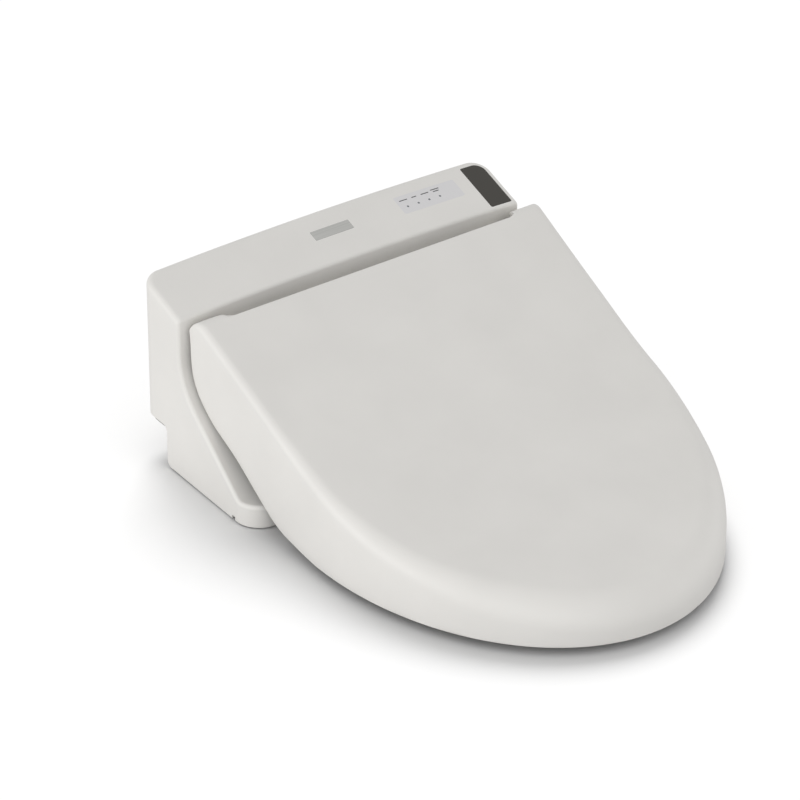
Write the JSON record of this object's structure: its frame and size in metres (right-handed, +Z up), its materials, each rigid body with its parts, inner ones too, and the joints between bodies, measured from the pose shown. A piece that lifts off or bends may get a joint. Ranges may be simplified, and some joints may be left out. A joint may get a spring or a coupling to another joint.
{
  "type": "electric bidet seat",
  "caption": "Electric bidet seat: a wedge-shaped rear unit with a wash wand and air dryer, a heated seat ring and a sloping soft-close lid on one hinge line.",
  "frame": {"origin": "midway between the two bowl bolts, on the plane of the bowl's rim", "axes": "+Z up, -Y towards the front of the lid, +X to the right hand of someone facing the seat from the front"},
  "size_m": [0.3854, 0.5115, 0.1861],
  "materials": {
    "white_plastic": "satin warm white",
    "seat_underside": "fine matt",
    "wand_plastic": "gloss",
    "grey_plastic": "fine matt",
    "inner_plastic": "natural moulded",
    "window_plastic": "smoked gloss",
    "panel_plastic": "printed film",
    "light_plastic": "translucent",
    "badge_metal": "satin",
    "rubber": "matt",
    "steel": "plain",
    "motor_case": "plated",
    "brass": "machined",
    "board": "lacquered",
    "foil": "foil"
  },
  "bodies": {
    "unit": {"badge_plate": "badge_metal", "base_plate": "grey_plastic", "button_spring": "steel", "case_screws": "steel", "control_board": "board", "cord_gland": "rubber", "deodorizer_housing": "inner_plastic", "dryer_duct": "inner_plastic", "dryer_heater": "steel", "dryer_housing": "inner_plastic", "hinge_damper_left": "steel", "hinge_damper_right": "steel", "hose_tank_valve": "rubber", "hose_valve_tank": "rubber", "indicator_lights": "light_plastic", "indicator_panel": "panel_plastic", "inlet_valve": "inner_plastic", "latch_pin": "steel", "lower_case": "grey_plastic", "power_board": "board", "rubber_feet": "rubber", "sensor_window": "window_plastic", "spray_valve": "inner_plastic", "tank_heater": "steel", "top_cover": "white_plastic", "wand_guide": "inner_plastic", "wand_motor": "motor_case", "water_inlet": "brass", "water_tank": "inner_plastic"},
    "seat": {"seat_top_shell": "white_plastic", "seat_bottom_shell": "seat_underside", "seat_heater": "foil", "seat_buffers": "rubber"},
    "lid": {"lid_shell": "white_plastic", "lid_buffers": "rubber"},
    "wand": {"wand_tube": "wand_plastic", "wand_tip": "wand_plastic"},
    "pinion": {"drive_pinion": "inner_plastic"},
    "flap": {"dryer_flap": "wand_plastic"},
    "dryer_fan": {"dryer_rotor": "inner_plastic"},
    "deodorizer_fan": {"deodorizer_rotor": "inner_plastic"},
    "filter": {"filter_cartridge": "white_plastic"},
    "button": {"release_button": "white_plastic"},
    "latch": {"latch_lever": "inner_plastic"}
  },
  "joints": [
    {"name": "seat_hinge", "type": "hinge", "parent": "unit", "child": "seat", "pos_m": [0, -0.022, 0.151], "axis": [-1, 0, 0], "range_deg": [0, 100]},
    {"name": "lid_hinge", "type": "hinge", "parent": "seat", "child": "lid", "pos_m": [0, -0.022, 0.151], "axis": [1, 0, 0], "range_deg": [-105, 0]},
    {"name": "wand_slide", "type": "slide", "parent": "unit", "child": "wand", "axis": [0, -0.9703, -0.2419], "range_m": [0, 0.088]},
    {"name": "pinion_spin", "type": "hinge", "parent": "unit", "child": "pinion", "pos_m": [0, -0.03686, 0.0311], "axis": [1, 0, 0], "range_deg": [-20, 660]},
    {"name": "dryer_flap_hinge", "type": "hinge", "parent": "unit", "child": "flap", "pos_m": [0.072, -0.07018, 0.04206], "axis": [-1, 0, 0], "range_deg": [0, 45]},
    {"name": "dryer_fan_spin", "type": "hinge", "parent": "unit", "child": "dryer_fan", "pos_m": [0.072, 0.028, 0.086], "axis": [1, 0, 0], "continuous": true},
    {"name": "deodorizer_fan_spin", "type": "hinge", "parent": "unit", "child": "deodorizer_fan", "pos_m": [0.1195, -0.042, 0.027], "axis": [1, 0, 0], "continuous": true},
    {"name": "filter_slide", "type": "slide", "parent": "unit", "child": "filter", "axis": [1, 0, 0], "range_m": [0, 0.045]},
    {"name": "release_press", "type": "slide", "parent": "unit", "child": "button", "axis": [-1, 0, 0], "range_m": [0, 0.003], "stiffness_N_per_m": 400, "deforming": ["button_spring"]},
    {"name": "latch_pivot", "type": "hinge", "parent": "unit", "child": "latch", "pos_m": [0.1175, -0.004, 0.03], "axis": [0, 1, 0], "range_deg": [-1, 10]}
  ],
  "couplings": [
    {"joint": "pinion_spin", "follows": "wand_slide", "rad_per_m": 121.21},
    {"joint": "latch_pivot", "follows": "release_press", "rad_per_m": 50}
  ]
}
